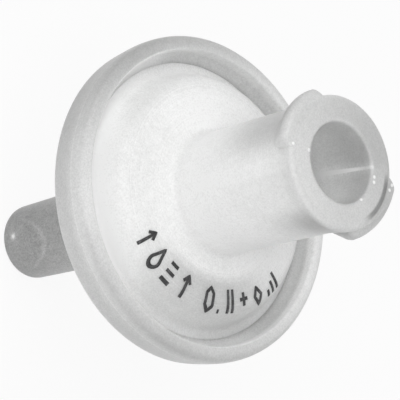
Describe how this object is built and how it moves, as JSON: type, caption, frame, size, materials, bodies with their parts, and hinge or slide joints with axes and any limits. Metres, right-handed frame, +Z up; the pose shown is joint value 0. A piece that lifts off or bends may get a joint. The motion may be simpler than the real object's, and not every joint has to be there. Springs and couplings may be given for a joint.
{
  "type": "syringe filter",
  "caption": "Small round syringe filter: welded disc housing with raised rim, female Luer-lock inlet, male Luer slip outlet, membrane inside",
  "frame": {"origin": "centre of the end face of the outlet tip, on the flow axis", "axes": "+Z runs up the flow axis from the outlet tip to the inlet mouth; +X and +Y lie across it, the first thread lug starting near +Y"},
  "size_m": [0.0174, 0.0174, 0.0244],
  "materials": {
    "housing": "natural translucent polypropylene, satin moulded surface",
    "membrane": "white porous PVDF sheet, matte",
    "band": "natural polypropylene overmould, slightly glossy"
  },
  "bodies": {
    "root": {"inlet_housing": "housing", "outlet_housing": "housing", "membrane": "membrane", "sealing_band": "band"}
  },
  "joints": []
}
